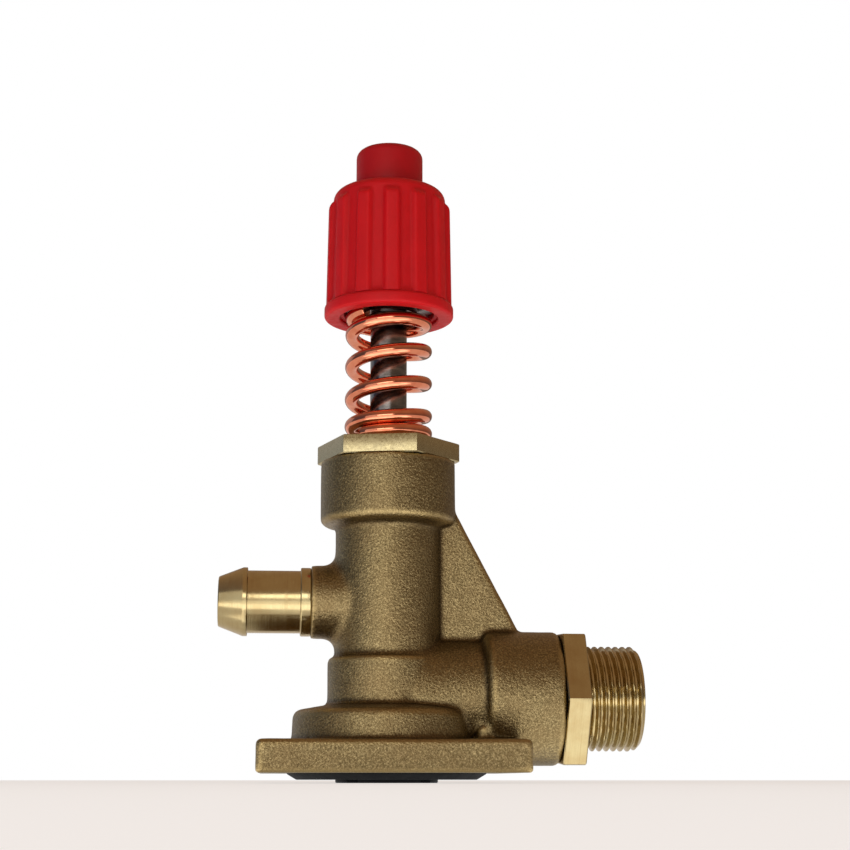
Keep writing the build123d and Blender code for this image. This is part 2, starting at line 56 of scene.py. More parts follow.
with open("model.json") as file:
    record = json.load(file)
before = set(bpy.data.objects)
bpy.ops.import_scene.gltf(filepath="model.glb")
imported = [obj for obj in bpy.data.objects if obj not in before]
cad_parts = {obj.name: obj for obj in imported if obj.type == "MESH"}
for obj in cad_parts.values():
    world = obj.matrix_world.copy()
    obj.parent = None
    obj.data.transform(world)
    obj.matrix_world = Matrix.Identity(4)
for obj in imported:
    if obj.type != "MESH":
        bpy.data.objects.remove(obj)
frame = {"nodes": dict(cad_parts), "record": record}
NODES = frame["nodes"]
CAD_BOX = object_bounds()
MM = 0.001
TURN = 2 * math.pi

BODY_OF = {
    node: body
    for body, members in frame["record"]["behaviour"]["bodies"].items()
    for node in members
}
SLOT_OF = {part["node"]: part["material_slot"] for part in frame["record"]["subparts"]}
MOUNTS = {mount["name"]: mount for mount in frame["record"]["mounts"]}


# ---------------------------------------------------------------- shader helpers
def linear(red, green, blue):
    """sRGB bytes to a linear RGBA colour."""
    def channel(value):
        value /= 255
        return value / 12.92 if value <= 0.04045 else ((value + 0.055) / 1.055) ** 2.4
    return (channel(red), channel(green), channel(blue), 1.0)


class Shader:
    """A material with one Principled shader, and short ways to add the nodes that feed it."""

    def __init__(self, name, **sockets):
        self.material = bpy.data.materials.new(name)
        self.material.use_nodes = True
        self.tree = self.material.node_tree
        self.tree.nodes.clear()
        self.output = self.tree.nodes.new("ShaderNodeOutputMaterial")
        self.bsdf = self.tree.nodes.new("ShaderNodeBsdfPrincipled")
        self.tree.links.new(self.bsdf.outputs["BSDF"], self.output.inputs["Surface"])
        for socket, value in sockets.items():
            self.bsdf.inputs[socket.replace("_", " ")].default_value = value
        self.coordinates = self.node("ShaderNodeTexCoord").outputs["Object"]

    def node(self, kind, **settings):
        made = self.tree.nodes.new(kind)
        for key, value in settings.items():
            setattr(made, key, value)
        return made

    def link(self, source, target):
        self.tree.links.new(source, target)

    def scaled(self, scale):
        """Object coordinates stretched by scale along each axis."""
        mapping = self.node("ShaderNodeMapping")
        mapping.inputs["Scale"].default_value = scale
        self.link(self.coordinates, mapping.inputs["Vector"])
        return mapping.outputs["Vector"]

    def noise(self, scale, detail=2.0, roughness=0.5, vector=None):
        made = self.node("ShaderNodeTexNoise")
        made.inputs["Scale"].default_value = scale
        made.inputs["Detail"].default_value = detail
        made.inputs["Roughness"].default_value = roughness
        self.link(vector or self.coordinates, made.inputs["Vector"])
        return made.outputs["Fac"]

    def specks(self, scale, low, high):
        """Spots, 1 at the middle of each cell of a Voronoi pattern and 0 past the distance high."""
        made = self.node("ShaderNodeTexVoronoi")
        made.inputs["Scale"].default_value = scale
        self.link(self.coordinates, made.inputs["Vector"])
        return self.ramp(made.outputs["Distance"], [(low, (1, 1, 1, 1)), (high, (0, 0, 0, 1))])

    def ramp(self, source, stops):
        made = self.node("ShaderNodeValToRGB")
        elements = made.color_ramp.elements
        while len(elements) < len(stops):
            elements.new(0.5)
        for element, (position, colour) in zip(elements, stops):
            element.position = position
            element.color = colour
        self.link(source, made.inputs["Fac"])
        return made.outputs["Color"]

    def mix(self, factor, first, second):
        """Mix two colours; each is a colour or a socket, and factor is a number or a socket."""
        made = self.node("ShaderNodeMix", data_type="RGBA")
        for value, socket in ((factor, made.inputs[0]), (first, made.inputs[6]), (second, made.inputs[7])):
            if hasattr(value, "is_linked"):
                self.link(value, socket)
            else:
                socket.default_value = value
        return made.outputs[2]

    def span(self, source, low, high, from_low=0.0, from_high=1.0):
        made = self.node("ShaderNodeMapRange")
        made.inputs["From Min"].default_value = from_low
        made.inputs["From Max"].default_value = from_high
        made.inputs["To Min"].default_value = low
        made.inputs["To Max"].default_value = high
        self.link(source, made.inputs["Value"])
        return made.outputs["Result"]

    def attribute(self, name):
        made = self.node("ShaderNodeAttribute", attribute_name=name)
        return made.outputs["Fac"]

    def colour(self, socket):
        self.link(socket, self.bsdf.inputs["Base Color"])

    def roughness(self, socket):
        self.link(socket, self.bsdf.inputs["Roughness"])

    def bump(self, *layers):
        """Each layer is (height socket, strength, distance in metres); they stack in order."""
        normal = None
        for height, strength, distance in layers:
            made = self.node("ShaderNodeBump")
            made.inputs["Strength"].default_value = strength
            made.inputs["Distance"].default_value = distance
            self.link(height, made.inputs["Height"])
            if normal is not None:
                self.link(normal, made.inputs["Normal"])
            normal = made.outputs["Normal"]
        self.link(normal, self.bsdf.inputs["Normal"])


# ---------------------------------------------------------------- materials
def cast_brass():
    """Shot-blasted casting: fine glinting grain, painted shade darkening the hollows (with some oxide there)
    and a painted highlight brightening the edges, which are also worn.
    """
    shader = Shader("cast_brass", Metallic=1.0)
    grain = shader.noise(2900, 2.0, 0.7)
    tone = shader.ramp(grain, [
        (0.37, linear(102, 88, 59)),
        (0.52, linear(127, 111, 77)),
        (0.67, linear(165, 147, 106)),
    ])
    patches = shader.noise(110, 3.0, 0.6)
    tone = shader.mix(shader.span(patches, 0.0, 0.5, 0.40, 0.75), tone, linear(120, 99, 66))
    relief = shader.attribute("relief")
    # painted shade: the hollows (low relief) are darkened, standing partly for oxide there
    tone = shader.mix(shader.span(relief, 0.55, 0.0, -0.8, -0.15), tone, linear(52, 38, 25))
    # painted highlight: the edges (high relief) are brightened, standing partly for wear
    tone = shader.mix(shader.span(relief, 0.0, 0.5, 0.25, 0.9), tone, linear(176, 154, 106))
    shader.colour(tone)
    shader.roughness(shader.span(shader.noise(1700, 2.0), 0.29, 0.43, 0.3, 0.7))
    shader.bump(
        (shader.noise(330, 2.0, 0.5), 0.12, 0.00030),
        (shader.noise(2100, 2.0, 0.65), 1.0, 0.00015),
    )
    return shader.material


def machined_brass():
    """Sawn and tumbled hexagon faces: pale, with fine dark pits."""
    shader = Shader("machined_brass", Metallic=1.0)
    tone = shader.mix(shader.span(shader.noise(700, 4.0, 0.7), 0.0, 0.6, 0.3, 0.7),
                      linear(180, 168, 130), linear(168, 154, 114))
    pits = shader.specks(1900, 0.12, 0.24)
    tone = shader.mix(shader.mix(pits, (0, 0, 0, 1), shader.noise(500, 2.0)), tone, linear(96, 78, 48))
    shader.colour(tone)
    shader.roughness(shader.span(shader.noise(1500, 3.0), 0.22, 0.36, 0.3, 0.7))
    shader.bump((shader.noise(1800, 3.0, 0.6), 0.25, 0.00004))
    return shader.material


def turned_brass():
    """Turned along X: bright, with fine tool rings and soft patches of darker tarnish."""
    shader = Shader("turned_brass", Metallic=1.0)
    rings = shader.noise(1.0, 3.0, 0.7, shader.scaled((5200, 60, 60)))
    tone = shader.mix(shader.span(shader.noise(260, 4.0, 0.6), 0.0, 0.6, 0.35, 0.75),
                      linear(186, 171, 128), linear(164, 138, 92))
    tone = shader.mix(shader.span(rings, 0.0, 0.30, 0.45, 0.8), tone, linear(150, 118, 70))
    shader.colour(tone)
    shader.roughness(shader.span(rings, 0.13, 0.26, 0.3, 0.7))
    shader.bump((rings, 0.25, 0.00003), (shader.noise(900, 2.0), 0.08, 0.00004))
    return shader.material


def copper_spring():
    """Bright copper plating with darker drawn streaks along the wire."""
    shader = Shader("copper_spring", Metallic=1.0)
    tone = shader.mix(shader.span(shader.noise(420, 3.0, 0.6), 0.0, 0.6, 0.40, 0.8),
                      linear(230, 146, 112), linear(196, 90, 60))
    shader.colour(tone)
    shader.roughness(shader.span(shader.noise(700, 3.0), 0.04, 0.13, 0.3, 0.7))
    shader.bump((shader.noise(420, 3.0, 0.6), 0.14, 0.00008))
    return shader.material


def dark_steel():
    """Blackened rod: satin, with faint rubbed marks round it."""
    shader = Shader("dark_steel", Metallic=1.0)
    marks = shader.noise(1.0, 4.0, 0.6, shader.scaled((220, 220, 900)))
    rubbed = shader.span(marks, 0.0, 1.0, 0.35, 0.75)
    shader.colour(shader.mix(rubbed, linear(98, 96, 96), linear(146, 142, 138)))
    shader.roughness(shader.span(shader.noise(400, 3.0), 0.13, 0.24, 0.3, 0.7))
    shader.bump((shader.noise(1.0, 2.0, 0.5, shader.scaled((90, 90, 5200))), 0.12, 0.00003))
    return shader.material


def steel():
    shader = Shader("steel", Metallic=1.0)
    rings = shader.noise(1.0, 3.0, 0.6, shader.scaled((70, 70, 4200)))
    duller = shader.span(rings, 0.0, 0.6, 0.3, 0.7)
    shader.colour(shader.mix(duller, linear(176, 176, 174), linear(140, 140, 140)))
    shader.roughness(shader.span(rings, 0.22, 0.38, 0.3, 0.7))
    shader.bump((rings, 0.12, 0.00003))
    return shader.material


def moulded(name, base, darker, roughness, grain_scale=1300, strength=0.10, depth=0.0):
    """Moulded plastic: a nearly even colour with soft mottling; light sinks in by depth metres."""
    shader = Shader(name)
    if depth:
        shader.bsdf.inputs["Subsurface Weight"].default_value = 0.6
        shader.bsdf.inputs["Subsurface Radius"].default_value = (1.0, 0.25, 0.2)
        shader.bsdf.inputs["Subsurface Scale"].default_value = depth
    shader.bsdf.inputs["Specular IOR Level"].default_value = 0.18
    mottle = shader.noise(190, 3.0, 0.55)
    shader.colour(shader.mix(shader.span(mottle, 0.0, 0.7, 0.35, 0.75), base, darker))
    shader.roughness(shader.span(shader.noise(700, 3.0), roughness - 0.05, roughness + 0.07, 0.3, 0.7))
    shader.bump(
        (shader.noise(grain_scale, 3.0, 0.6), strength, 0.00006),
        (shader.noise(70, 2.0), 0.05, 0.0004),
    )
    return shader.material


def red_plastic():
    return moulded("red_plastic", linear(180, 11, 19), linear(170, 10, 17), 0.50, depth=4.0 * MM)


def cap_plastic():
    return moulded("cap_plastic", linear(164, 12, 20), linear(152, 11, 18), 0.48, depth=1.5 * MM)


def white_plastic():
    return moulded("white_plastic", linear(226, 224, 216), linear(208, 205, 196), 0.45)


def black_plastic():
    return moulded("black_plastic", linear(24, 24, 26), linear(34, 34, 36), 0.45)


def black_rubber():
    return moulded("black_rubber", linear(18, 18, 19), linear(30, 30, 31), 0.60, 900, 0.25)


MATERIALS = {make.__name__: make() for make in (
    cast_brass, machined_brass, turned_brass, copper_spring, dark_steel, steel,
    red_plastic, cap_plastic, white_plastic, black_plastic, black_rubber,
)}


# ---------------------------------------------------------------- mesh helpers
def dress(piece, node):
    """Finish a new piece: it stands for a CAD node, rides its body and takes its material."""
    slot = SLOT_OF[node]
    piece.data.materials.clear()
    piece.data.materials.append(MATERIALS[slot])
    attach(piece, BODY_OF[node])
    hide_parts(node)
    return piece


def shade(mesh, sharp_degrees=32):
    mesh.polygons.foreach_set("use_smooth", [True] * len(mesh.polygons))
    mesh.set_sharp_from_angle(angle=math.radians(sharp_degrees))


def new_object(name, mesh):
    made = bpy.data.objects.new(name, mesh)
    bpy.context.scene.collection.objects.link(made)
    return made


def rounded(corners, arc_steps=5):
    """Outline of (radius, height, fillet) corners, closed, as (radius, height) points in mm."""
    points = []
    count = len(corners)
    for index, (radius, height, fillet) in enumerate(corners):
        here = np.array([radius, height], float)
        if fillet <= 0:
            points.append(tuple(here))
            continue
        before = np.array(corners[index - 1][:2], float) - here
        after = np.array(corners[(index + 1) % count][:2], float) - here
        before /= np.linalg.norm(before)
        after /= np.linalg.norm(after)
        half = math.acos(np.clip(before @ after, -1, 1)) / 2
        setback = fillet / math.tan(half)
        middle = before + after
        middle /= np.linalg.norm(middle)
        centre = here + middle * fillet / math.sin(half)
        start = here + before * setback - centre
        sweep = math.pi - 2 * half
        side = math.copysign(1.0, before[0] * after[1] - before[1] * after[0])
        for step in range(arc_steps + 1):
            turn = -side * sweep * step / arc_steps
            cosine, sine = math.cos(turn), math.sin(turn)
            spoke = [cosine * start[0] - sine * start[1], sine * start[0] + cosine * start[1]]
            points.append(tuple(centre + np.array(spoke)))
    return points


def rings_to_mesh(name, rows, steps, placement=None):
    """Closed surface from rows of rings round Z; a row is (radius, height), each a number or an array
    of one value per step. The last row joins the first. Rows are in mm, placement is in metres."""
    angles = TURN * np.arange(steps) / steps
    points = []
    for radius, height in rows:
        ring = np.zeros((steps, 3))
        ring[:, 0] = radius * np.cos(angles)
        ring[:, 1] = radius * np.sin(angles)
        ring[:, 2] = height
        points.append(ring * MM)
    vertices = np.concatenate(points)
    if placement is not None:
        turn = np.array(placement.to_3x3())
        vertices = vertices @ turn.T + np.array(placement.translation)
    faces = []
    count = len(rows)
    for row in range(count):
        upper = (row + 1) % count
        for step in range(steps):
            after = (step + 1) % steps
            faces.append((row * steps + step, row * steps + after,
                          upper * steps + after, upper * steps + step))
    mesh = bpy.data.meshes.new(name)
    mesh.from_pydata(vertices.tolist(), [], faces)
    collapse_poles(mesh)
    shade(mesh)
    return new_object(name, mesh)


def collapse_poles(mesh):
    """Join the vertices that meet on the axis, drop the empty faces this leaves, and face outwards."""
    work = bmesh.new()
    work.from_mesh(mesh)
    bmesh.ops.remove_doubles(work, verts=work.verts, dist=1e-7)
    bmesh.ops.dissolve_degenerate(work, edges=work.edges, dist=1e-8)
    bmesh.ops.recalc_face_normals(work, faces=work.faces)
    work.to_mesh(mesh)
    work.free()


def along(axis_x, height_mm):
    """Placement that lays a Z-axis shape along X (axis_x = 1) or -X (axis_x = -1) at a height."""
    turn = Matrix.Rotation(axis_x * math.pi / 2, 4, "Y")
    return Matrix.Translation((0, 0, height_mm * MM)) @ turn


def top_mm(node, axis=2):
    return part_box(node)[1][axis] / MM


def low_mm(node, axis=2):
    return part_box(node)[0][axis] / MM


def hexagon_radius(steps, across_flats, clock_degrees, corner_cut):
    """Radius at each angle of a hexagon whose corners are a touch rounded."""
    angles = TURN * np.arange(steps) / steps - math.radians(clock_degrees)
    sixth = TURN / 6
    from_flat = (angles % sixth) - sixth / 2
    radius = across_flats / 2 / np.cos(from_flat)
    return np.minimum(radius, across_flats / 2 / math.cos(sixth / 2) - corner_cut)


def thread_radius(steps, height, crest, pitch):
    """Radius of a right-hand 60-degree thread at one height, at each angle round it."""
    angles = np.arange(steps) / steps
    phase = (height / pitch - angles) % 1.0
    off_crest = np.minimum(phase, 1 - phase)
    crest_share, flank_share = 1 / 16, 5 / 16
    depth = THREAD_DEPTH * pitch
    return crest - depth * np.clip((off_crest - crest_share) / flank_share, 0, 1)


OUTLET_Z = MOUNTS["outlet_thread"]["pos_m"][2] / MM
BYPASS_Z = MOUNTS["bypass_bore"]["pos_m"][2] / MM
OUTLET_PLACE = along(1, OUTLET_Z)
BYPASS_PLACE = along(-1, BYPASS_Z)
SMOOTH_STEPS = 144


# ---------------------------------------------------------------- casting
CAST_VOXEL = 0.42 * MM
FILLET_ROUNDS = 9          # smoothing passes that fill the CAD's creases with casting radii
BLEND_ROUNDS = 110         # passes for the broad blend where the neck leaves the lower boss
EDGE_WEAR = 0.35           # share of the smoothing that rounds off outer edges
RELIEF_ROUNDS = 7          # passes for the wider average that finds hollows and edges
RELIEF_SCALE = 0.10 * MM
MACHINED_BLEND = 0.5       # mm over which a machined face gives way to the rough casting
NECK_BLEND_X = 10.5        # middle of the place where neck, lower boss and column meet
NECK_BLEND_Z = 19.5
NECK_BLEND_REACH_X = 6.5
NECK_BLEND_REACH_Z = 5.5
NECK_BLEND_SLOPE = 2.2     # how quickly the broad blend comes in from the edge of that place
SKIN_LAYERS = ((5.0, 0.05), (1.6, 0.02))    # size and height in mm of the skin's unevenness
BORE_MARGIN = 0.1          # mm round a bore that stays exact with it
BOLT_HALF_SPACING = 19.5
BOLT_HOLE_R = 3.3
NUT_BORE_BOTTOM = 57.0
SEAT_SHOULDER_Z = 26.0
SLEEVE_BORE_R = 11.0
CHAMBER_R = 8.0
CYLINDER_R = 6.0
OUTLET_BORE_R = 10.0
SEAL_SEAT_WIDTH = 1.3
BARB_BORE_R = 5.0
BYPASS_FACE_X = -16.3
OUTLET_FACE_X = 36.0
STUB_X = 19.2              # the feeder stub, in front of the outlet boss
STUB_Y = -10.6
STUB_MIDDLE_Z = 8.2
STUB_REACH = 2.4
STUB_ROUNDS = 26           # passes that run the stub into the flange and the bosses beside it


def positions_of(mesh):
    points = np.empty(len(mesh.vertices) * 3)
    mesh.vertices.foreach_get("co", points)
    return points.reshape(-1, 3)


def normals_of(mesh):
    normals = np.empty(len(mesh.vertices) * 3)
    mesh.vertices.foreach_get("normal", normals)
    return normals.reshape(-1, 3)


def edges_of(mesh):
    edges = np.empty(len(mesh.edges) * 2, dtype=np.int64)
    mesh.edges.foreach_get("vertices", edges)
    return edges.reshape(-1, 2)


def averaged(points, edges, rounds, strength=0.6):
    """Each point moved towards the mean of its neighbours, again and again."""
    count = np.maximum(np.bincount(edges.ravel(), minlength=len(points)), 1)[:, None]
    for _ in range(rounds):
        total = np.empty_like(points)
        for axis in range(3):
            total[:, axis] = np.bincount(edges[:, 0], points[edges[:, 1], axis], len(points))
            total[:, axis] += np.bincount(edges[:, 1], points[edges[:, 0], axis], len(points))
        points = points + strength * (total / count - points)
    return points


def voxel_remeshed(name, mesh, size):
    piece = new_object(name, mesh)
    modifier = piece.modifiers.new("remesh", "REMESH")
    modifier.mode = "VOXEL"
    modifier.voxel_size = size
    bpy.context.view_layer.update()
    evaluated = piece.evaluated_get(bpy.context.evaluated_depsgraph_get())
    remeshed = bpy.data.meshes.new_from_object(evaluated)
    piece.modifiers.clear()
    piece.data = remeshed
    return piece


def rough_share(points):
    """0 on machined faces and in bores, which keep their exact shape, and 1 on the rough casting."""
    x, y, z = (points / MM).T
    from_spindle = np.hypot(x, y)
    from_outlet = np.hypot(y, z - OUTLET_Z)
    from_bypass = np.hypot(y, z - BYPASS_Z)
    from_bolt = np.hypot(np.abs(x) - BOLT_HALF_SPACING, np.abs(y) - BOLT_HALF_SPACING)
    faces = (z, top_mm("valve_body") - z, OUTLET_FACE_X - x, x - BYPASS_FACE_X)
    share = np.clip(np.minimum.reduce([np.abs(face) for face in faces]) / MACHINED_BLEND, 0, 1)
    sleeve_bore = from_spindle < SLEEVE_BORE_R + SEAL_SEAT_WIDTH + BORE_MARGIN
    sleeve_bore &= z > NUT_BORE_BOTTOM - 1
    chamber = (from_spindle < CHAMBER_R + BORE_MARGIN) & (z < SEAT_SHOULDER_Z + 1)
    cylinder = from_spindle < CYLINDER_R + BORE_MARGIN
    outlet_bore = (from_outlet < OUTLET_BORE_R + SEAL_SEAT_WIDTH + BORE_MARGIN) & (x > CHAMBER_R)
    barb_bore = (from_bypass < BARB_BORE_R + BORE_MARGIN) & (x < 0)
    bolt_hole = from_bolt < BOLT_HOLE_R + BORE_MARGIN
    share[sleeve_bore | chamber | cylinder | outlet_bore | barb_bore | bolt_hole] = 0
    return share


def broad_blend(points):
    """1 in the middle of the place where neck, lower boss and column run together, 0 away from it."""
    x, _, z = (points / MM).T
    height = np.clip(1 - np.abs(z - NECK_BLEND_Z) / NECK_BLEND_REACH_Z, 0, 1)
    reach = np.clip(1 - np.abs(x - NECK_BLEND_X) / NECK_BLEND_REACH_X, 0, 1)
    return np.minimum(1, NECK_BLEND_SLOPE * height) * np.minimum(1, NECK_BLEND_SLOPE * reach)


def round_the_stub(points):
    """1 on the feeder stub and the flange round it, fading to 0 a few mm away."""
    x, y, z = (points / MM).T
    away = np.sqrt((x - STUB_X) ** 2 + (y - STUB_Y) ** 2 + (z - STUB_MIDDLE_Z) ** 2)
    return np.clip(2.0 - away / STUB_REACH, 0, 1)


def uneven(points, size_mm, seed):
    """Smooth noise between about -1 and 1 at each point."""
    shift = Vector((seed * 7.1, seed * 3.7, seed * 5.3))
    return np.array([noise.noise(Vector(point) + shift) for point in (points / MM / size_mm).tolist()])


def casting():
    """The brass body with soft foundry radii and a slightly uneven skin, its bores left exact."""
    source = NODES["valve_body"].data
    tree = BVHTree.FromPolygons(
        [vertex.co.copy() for vertex in source.vertices],
        [tuple(face.vertices) for face in source.polygons],
    )
    work = bmesh.new()
    work.from_mesh(source)
    bmesh.ops.remove_doubles(work, verts=work.verts, dist=1e-6)
    closed = bpy.data.meshes.new("casting")
    work.to_mesh(closed)
    work.free()
    piece = voxel_remeshed("casting", closed, CAST_VOXEL)
    mesh = piece.data
    edges = edges_of(mesh)
    rough = positions_of(mesh)
    exact = np.array([tree.find_nearest(Vector(point))[0] for point in rough.tolist()])
    normals = normals_of(mesh)

    def filled(points, rounds, weight):
        """Smoothing that adds metal in hollows and takes little off outer edges."""
        move = np.einsum("ij,ij->i", averaged(points, edges, rounds) - points, normals)
        move = np.where(move > 0, move, move * EDGE_WEAR) * weight
        return points + normals * move[:, None]

    share = rough_share(exact)
    points = filled(exact, BLEND_ROUNDS, share * broad_blend(exact))
    points = filled(points, STUB_ROUNDS, share * round_the_stub(exact))
    points = filled(points, FILLET_ROUNDS, share)
    skin = sum(uneven(points, size, seed) * height for seed, (size, height) in enumerate(SKIN_LAYERS, 1))
    points += normals * (skin * share * MM)[:, None]
    points = np.clip(points, CAD_BOX[0], CAD_BOX[1])
    mesh.vertices.foreach_set("co", points.ravel())
    mesh.update()
    # relief: how far each point stands above or sinks below its surroundings; cast_brass paints shade into
    # the hollows and a highlight onto the edges from it
    wide = averaged(points, edges, RELIEF_ROUNDS)
    relief = np.einsum("ij,ij->i", points - wide, normals_of(mesh)) / RELIEF_SCALE
    layer = mesh.attributes.new("relief", "FLOAT", "POINT")
    layer.data.foreach_set("value", np.clip(relief, -1, 1))
    shade(mesh, 50)
    return dress(piece, "valve_body")


# ---------------------------------------------------------------- turned and screwed pieces
HEX_AF = 27.0
VISIBLE_GAP = 0.1          # mm left between a hexagon and the casting
HEX_CORNER_CUT = 0.08
GUIDE_CLOCK = -11.0        # degrees that the guide nut is turned about Z
NIPPLE_CLOCK = 33.3        # and the outlet's hexagon about its own axis
THREAD_PITCH = 1.5
THREAD_DEPTH = 0.613       # of an external thread, as a share of its pitch
THREAD_CREST_R = 11.0
ROWS_PER_PITCH = 16
HEX_EDGE = 0.22            # broken edges of both hexagons
GUIDE_SPIGOT_R = 10.95
ROD_HOLE_R = 4.05
ROD_HOLE_CHAMFER = 0.6
GLAND_R = 6.5
TOP_RING_INSET = 2.5       # mm in from the flats of an extra ring of points on the nut's top face
NIPPLE_SPIGOT_R = 9.95
NIPPLE_HEX_END = 41.0
NIPPLE_HOLE_R = 4.4
SOCKET_R = 7.05            # takes the hose coupling's plug
SOCKET_CHAMFER = 0.7
CHECK_POCKET_R = 5.6       # holds the check valve's spring
CHECK_POCKET_END = 33.0


def ring_outline(inner_r, outer_r, low, high, rounding):
    return rounded([
        (inner_r, low, rounding),
        (outer_r, low, rounding),
        (outer_r, high, rounding),
        (inner_r, high, rounding),
    ])


def guide_nut():
    """Hexagon nut with a lightly broken upper edge, on a plain spigot."""
    steps = SMOOTH_STEPS
    low = top_mm("valve_body") + VISIBLE_GAP
    high = top_mm("guide_nut")
    spigot_bottom = low_mm("guide_nut")
    gland_top = top_mm("rod_backup_ring")
    hexagon = hexagon_radius(steps, HEX_AF, 0, HEX_CORNER_CUT)
    round_over = HEX_EDGE * 0.3
    rows = [
        (ROD_HOLE_R + ROD_HOLE_CHAMFER, high),
        (hexagon - TOP_RING_INSET, high),
        (hexagon - HEX_EDGE, high),
        (hexagon - round_over, high - round_over),
        (hexagon, high - HEX_EDGE),
        (hexagon, low + HEX_EDGE),
        (hexagon - HEX_EDGE, low),
        (GUIDE_SPIGOT_R, low),
        (GUIDE_SPIGOT_R, spigot_bottom),
        (GLAND_R, spigot_bottom),
        (GLAND_R, gland_top),
        (ROD_HOLE_R, gland_top),
        (ROD_HOLE_R, high - ROD_HOLE_CHAMFER),
    ]
    place = Matrix.Rotation(math.radians(GUIDE_CLOCK), 4, "Z")
    return dress(rings_to_mesh("guide_nut_visual", rows, steps, place), "guide_nut")


def outlet_nipple():
    """Hexagon and the real M22 x 1.5 hose thread, which runs out beside the hexagon."""
    steps = SMOOTH_STEPS
    start = low_mm("outlet_nipple", 0)
    hex_start = OUTLET_FACE_X + VISIBLE_GAP
    end = top_mm("outlet_nipple", 0)
    hexagon = hexagon_radius(steps, HEX_AF, NIPPLE_CLOCK, HEX_CORNER_CUT)
    rows = [
        (NIPPLE_SPIGOT_R, start),
        (NIPPLE_SPIGOT_R, hex_start),
        (hexagon - HEX_EDGE, hex_start),
        (hexagon, hex_start + HEX_EDGE),
        (hexagon, NIPPLE_HEX_END - HEX_EDGE),
        (hexagon - HEX_EDGE, NIPPLE_HEX_END),
    ]
    neck_r = THREAD_CREST_R - THREAD_DEPTH * THREAD_PITCH
    rows.append((neck_r + 0.3, NIPPLE_HEX_END))
    thread_start = NIPPLE_HEX_END + 0.15
    count = int((end - thread_start) / THREAD_PITCH * ROWS_PER_PITCH)
    for index in range(count + 1):
        height = thread_start + (end - thread_start) * index / count
        radius = thread_radius(steps, height, THREAD_CREST_R, THREAD_PITCH)
        chamfer = THREAD_CREST_R - 1.0 + (end - height)
        run_out = neck_r + 0.05 + max(0.0, height - thread_start - 0.5) * 3.0
        rows.append((np.minimum(np.minimum(radius, chamfer), run_out), height))
    rows += [
        (SOCKET_R + SOCKET_CHAMFER, end),
        (SOCKET_R, end - SOCKET_CHAMFER),
        (SOCKET_R, NIPPLE_HEX_END + 1.0),
        (NIPPLE_HOLE_R, NIPPLE_HEX_END - 0.5),
        (NIPPLE_HOLE_R, CHECK_POCKET_END),
        (CHECK_POCKET_R, CHECK_POCKET_END),
        (CHECK_POCKET_R, start),
    ]
    return dress(rings_to_mesh("outlet_nipple_visual", rows, steps, OUTLET_PLACE), "outlet_nipple")


def bypass_barb():
    """Hose barb: spigot, collar, plain tube and a tapered tip behind a short land."""
    start = 10.0
    hole_r, spigot_r, tube_r, land_r, tip_r = 3.4, 4.95, 6.6, 7.25, 5.25
    collar = -BYPASS_FACE_X
    collar_end = collar + 2.2
    land_start, land_end = 29.7, 30.6
    tip = -low_mm("bypass_barb", 0)
    outline = rounded([
        (hole_r, start, 0),
        (spigot_r, start, 0.2),
        (spigot_r, collar, 0),
        (land_r, collar, 0.3),
        (land_r, collar_end, 0.25),
        (tube_r, collar_end, 0.12),
        (tube_r, land_start, 0.15),
        (land_r, land_start, 0.12),
        (land_r, land_end, 0.4),
        (tip_r, tip, 0.4),
        (hole_r, tip, 0.25),
    ])
    return dress(rings_to_mesh("bypass_barb_visual", outline, SMOOTH_STEPS, BYPASS_PLACE), "bypass_barb")


def mounting_seal():
    """Moulded ring with a bevelled lower edge."""
    inner_r, face_r, outer_r = 10.85, 18.8, 20.85
    low, bevel_top, high = low_mm("mounting_seal"), -0.15, top_mm("mounting_seal")
    outline = rounded([
        (inner_r, low, 0.3),
        (face_r, low, 0.5),
        (outer_r, bevel_top, 0.5),
        (outer_r, high, 0.2),
        (inner_r, high, 0.2),
    ])
    return dress(rings_to_mesh("mounting_seal_visual", outline, SMOOTH_STEPS), "mounting_seal")


def seal_under_nut():
    inner_r, outer_r = 11.1, 12.2
    low, high = low_mm("guide_nut_seal"), top_mm("guide_nut_seal")
    outline = ring_outline(inner_r, outer_r, low, high, 0.3)
    return dress(rings_to_mesh("guide_nut_seal_visual", outline, SMOOTH_STEPS), "guide_nut_seal")


def seal_under_nipple():
    inner_r, outer_r = 10.1, 11.2
    low, high = low_mm("outlet_seal", 0), top_mm("outlet_seal", 0)
    outline = ring_outline(inner_r, outer_r, low, high, 0.3)
    return dress(rings_to_mesh("outlet_seal_visual", outline, SMOOTH_STEPS, OUTLET_PLACE), "outlet_seal")


# ---------------------------------------------------------------- spring
SPRING_WIRE_R = 1.5
SPRING_MEAN_R = 8.05
SPRING_START = 226         # degrees about Z where the lower end was cut
SPRING_OPEN = 640          # the coil opens here, past one closed turn
SPRING_CLOSE = 1710        # and closes again here
SPRING_END = 2030
CLOSED_PITCH = 3.0
OPEN_PITCH = 7.3
TOP_PITCH = 2.55
CHECK_SPRING_R = 4.8


def spring_heights(angles):
    """Height of the wire's centre at each angle, with the pitch changing smoothly at both ends."""
    def ramped(start):
        blend = 40.0
        past = np.clip((angles - start + blend) / (2 * blend), 0, 1)
        return past * past * (3 - 2 * past)
    opening = ramped(SPRING_OPEN)
    closing = ramped(SPRING_CLOSE)
    pitch = CLOSED_PITCH + (OPEN_PITCH - CLOSED_PITCH) * opening + (TOP_PITCH - OPEN_PITCH) * closing
    rise = np.concatenate([[0], np.cumsum((pitch[1:] + pitch[:-1]) / 2 * np.diff(angles) / 360)])
    return low_mm("regulator_spring") + SPRING_WIRE_R + rise


